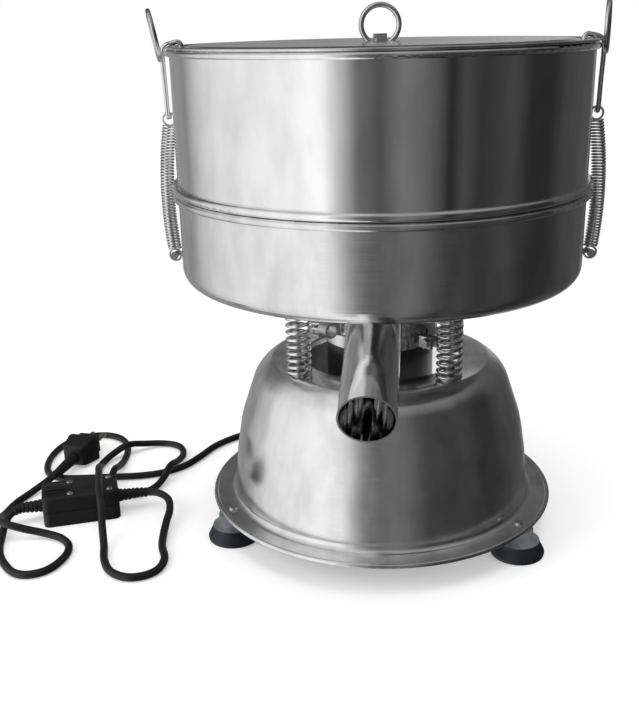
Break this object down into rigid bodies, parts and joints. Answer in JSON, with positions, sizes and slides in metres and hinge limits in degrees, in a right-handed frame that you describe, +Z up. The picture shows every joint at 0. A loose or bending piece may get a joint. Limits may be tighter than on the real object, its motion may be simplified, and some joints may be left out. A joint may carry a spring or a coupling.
{
  "type": "electric vibrating sieve",
  "caption": "Round latched sieve on a sprung receiving pan with a sloping spout, shaken by an out-of-balance motor over a domed base with rubber feet and a mains cord.",
  "frame": {"origin": "on the sieve's vertical axis, on the surface that the feet stand on", "axes": "+Z up; -Y the side that the spout points to; the latches are at +X and -X"},
  "size_m": [0.4835, 0.3465, 0.4002],
  "materials": {
    "brushed_bowl": "satin brushed",
    "brushed_pan": "satin brushed",
    "polished_drum": "mirror polished",
    "polished_lid": "fine polished",
    "bright_wire": "bright nickel",
    "spring_steel": "bright",
    "zinc_fastener": "zinc plated",
    "black_rubber": "matte",
    "motor_paint": "semi-gloss black",
    "lamination": "laminated",
    "weight_iron": "plain",
    "screen": "woven",
    "cord_pvc": "matte PVC",
    "switch_plastic": "fine texture",
    "rocker_plastic": "gloss",
    "plug_plastic": "fine texture",
    "pin_brass": "bright"
  },
  "bodies": {
    "base": {"base_bowl": "brushed_bowl", "foot_cups": "black_rubber", "foot_screws": "zinc_fastener", "spring_posts_lower": "zinc_fastener", "support_springs": "spring_steel", "cord_gland": "switch_plastic", "motor_lead": "cord_pvc", "base_tie": "zinc_fastener", "cord_supply": "cord_pvc", "switch_shell_lower": "switch_plastic", "switch_shell_upper": "switch_plastic", "switch_screws": "zinc_fastener", "cord_plug_end": "cord_pvc", "plug_body": "plug_plastic", "plug_pins": "pin_brass", "strain_relief_plug": "cord_pvc", "strain_relief_in": "cord_pvc", "strain_relief_out": "cord_pvc"},
    "shaker": {"spring_posts_upper": "zinc_fastener", "pan": "brushed_pan", "spout": "polished_drum", "lug_l": "zinc_fastener", "lug_r": "zinc_fastener", "motor_hanger": "polished_lid", "hanger_bolts": "zinc_fastener", "motor_shell": "motor_paint", "motor_cap_top": "polished_lid", "motor_cap_bottom": "polished_lid", "stator_core": "lamination", "bearings": "spring_steel", "clamp_band": "polished_lid", "clamp_bolt": "zinc_fastener", "cable_clip": "zinc_fastener", "clip_screw": "zinc_fastener", "pull_spring_l": "spring_steel", "pull_spring_r": "spring_steel"},
    "rotor": {"motor_shaft": "spring_steel", "rotor_core": "lamination", "weight_top": "weight_iron", "weight_bottom": "weight_iron", "weight_screws": "zinc_fastener"},
    "sieve": {"sieve_drum": "polished_drum", "mesh_screen": "screen", "mesh_ring": "polished_lid"},
    "lid": {"lid": "polished_lid", "lid_ring": "bright_wire", "lid_bolt": "zinc_fastener"},
    "eye_l": {"spring_eye_l": "spring_steel"},
    "eye_r": {"spring_eye_r": "spring_steel"},
    "latch_l": {"latch_hook_l": "bright_wire", "latch_ring_l": "bright_wire"},
    "latch_r": {"latch_hook_r": "bright_wire", "latch_ring_r": "bright_wire"},
    "rocker": {"rocker": "rocker_plastic"}
  },
  "joints": [
    {"name": "shake", "type": "slide", "parent": "base", "child": "shaker", "axis": [0, 0, 1], "range_m": [-0.005, 0.005], "stiffness_N_per_m": 12000, "springref_m": 0.0037, "deforming": ["support_springs"]},
    {"name": "motor_spin", "type": "hinge", "parent": "shaker", "child": "rotor", "pos_m": [0, 0, 0.14], "axis": [0, 0, 1], "continuous": true},
    {"name": "sieve_lift", "type": "slide", "parent": "shaker", "child": "sieve", "axis": [0, 0, 1], "range_m": [0, 0.025], "deforming": ["pull_spring_l", "pull_spring_r"]},
    {"name": "lid_lift", "type": "slide", "parent": "sieve", "child": "lid", "axis": [0, 0, 1], "range_m": [0, 0.06]},
    {"name": "latch_pull_l", "type": "slide", "parent": "sieve", "child": "eye_l", "axis": [0, 0, 1], "range_m": [0, 0.012], "stiffness_N_per_m": 300, "springref_m": -0.02, "deforming": ["pull_spring_l"]},
    {"name": "latch_pull_r", "type": "slide", "parent": "sieve", "child": "eye_r", "axis": [0, 0, 1], "range_m": [0, 0.012], "stiffness_N_per_m": 300, "springref_m": -0.02, "deforming": ["pull_spring_r"]},
    {"name": "latch_swing_l", "type": "hinge", "parent": "eye_l", "child": "latch_l", "pos_m": [-0.1572, 0, 0.3211], "axis": [0, -1, 0], "range_deg": [0, 60], "stiffness_Nm_per_rad": 0.05, "springref_deg": -28.65},
    {"name": "latch_swing_r", "type": "hinge", "parent": "eye_r", "child": "latch_r", "pos_m": [0.1572, 0, 0.3211], "axis": [0, 1, 0], "range_deg": [0, 60], "stiffness_Nm_per_rad": 0.05, "springref_deg": -28.65},
    {"name": "rocker_tip", "type": "hinge", "parent": "base", "child": "rocker", "pos_m": [-0.26902, -0.02618, 0.0234], "axis": [-0.309, 0.9511, 0], "range_deg": [-8, 8]}
  ]
}
